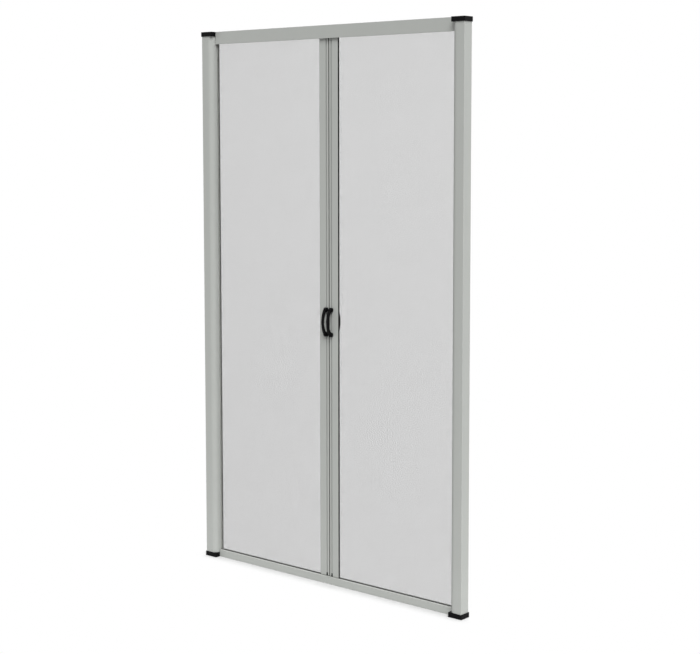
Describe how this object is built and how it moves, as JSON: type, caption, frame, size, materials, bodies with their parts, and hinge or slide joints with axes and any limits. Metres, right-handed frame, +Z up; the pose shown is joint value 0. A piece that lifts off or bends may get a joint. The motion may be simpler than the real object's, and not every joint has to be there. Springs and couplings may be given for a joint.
{
  "type": "retractable screen door",
  "caption": "Side-rolling insect screen door: screens pull out of upright cassettes on bars with handles, run in top and bottom rails, and meet in the middle.",
  "frame": {"origin": "on the underside of the bottom rail, halfway along it, in the plane of the screens", "axes": "+X along the width to the right as seen from the front, +Y from the front through the opening, +Z up"},
  "size_m": [1.406, 0.0845, 2.3],
  "materials": {
    "frame_coat": "light grey satin powder coat",
    "black_plastic": "black moulded plastic, fine matt texture",
    "handle_plastic": "black moulded plastic, satin",
    "tube_metal": "bare extruded tube",
    "screen_mesh": "charcoal coated glass-fibre mesh",
    "brush_pile": "dark grey brush pile",
    "magnet_rubber": "dark brown-black magnetic rubber strip",
    "retainer_rubber": "black soft profile"
  },
  "bodies": {
    "frame": {"cassette_left": "frame_coat", "cap_top_left": "black_plastic", "cap_bottom_left": "black_plastic", "roller_tube_left": "tube_metal", "wound_screen_left": "screen_mesh", "slot_brush_front_left": "brush_pile", "slot_brush_rear_left": "brush_pile", "screen_left": "screen_mesh", "cassette_right": "frame_coat", "cap_top_right": "black_plastic", "cap_bottom_right": "black_plastic", "roller_tube_right": "tube_metal", "wound_screen_right": "screen_mesh", "slot_brush_front_right": "brush_pile", "slot_brush_rear_right": "brush_pile", "screen_right": "screen_mesh", "top_rail": "frame_coat", "bottom_rail": "frame_coat", "top_brush_front": "brush_pile", "top_brush_rear": "brush_pile", "bottom_brush_front": "brush_pile", "bottom_brush_rear": "brush_pile"},
    "left_bar": {"pull_bar_left": "frame_coat", "magnet_strip_left": "magnet_rubber", "screen_retainer_left": "retainer_rubber", "top_guide_left": "black_plastic", "bottom_guide_left": "black_plastic", "handle_front_left": "handle_plastic", "handle_rear_left": "handle_plastic"},
    "right_bar": {"pull_bar_right": "frame_coat", "magnet_strip_right": "magnet_rubber", "screen_retainer_right": "retainer_rubber", "top_guide_right": "black_plastic", "bottom_guide_right": "black_plastic", "handle_front_right": "handle_plastic", "handle_rear_right": "handle_plastic"}
  },
  "joints": [
    {"name": "left_bar_slide", "type": "slide", "parent": "frame", "child": "left_bar", "axis": [-1, 0, 0], "range_m": [0, 0.58], "deforming": ["screen_left"]},
    {"name": "right_bar_slide", "type": "slide", "parent": "frame", "child": "right_bar", "axis": [1, 0, 0], "range_m": [0, 0.58], "deforming": ["screen_right"]}
  ]
}
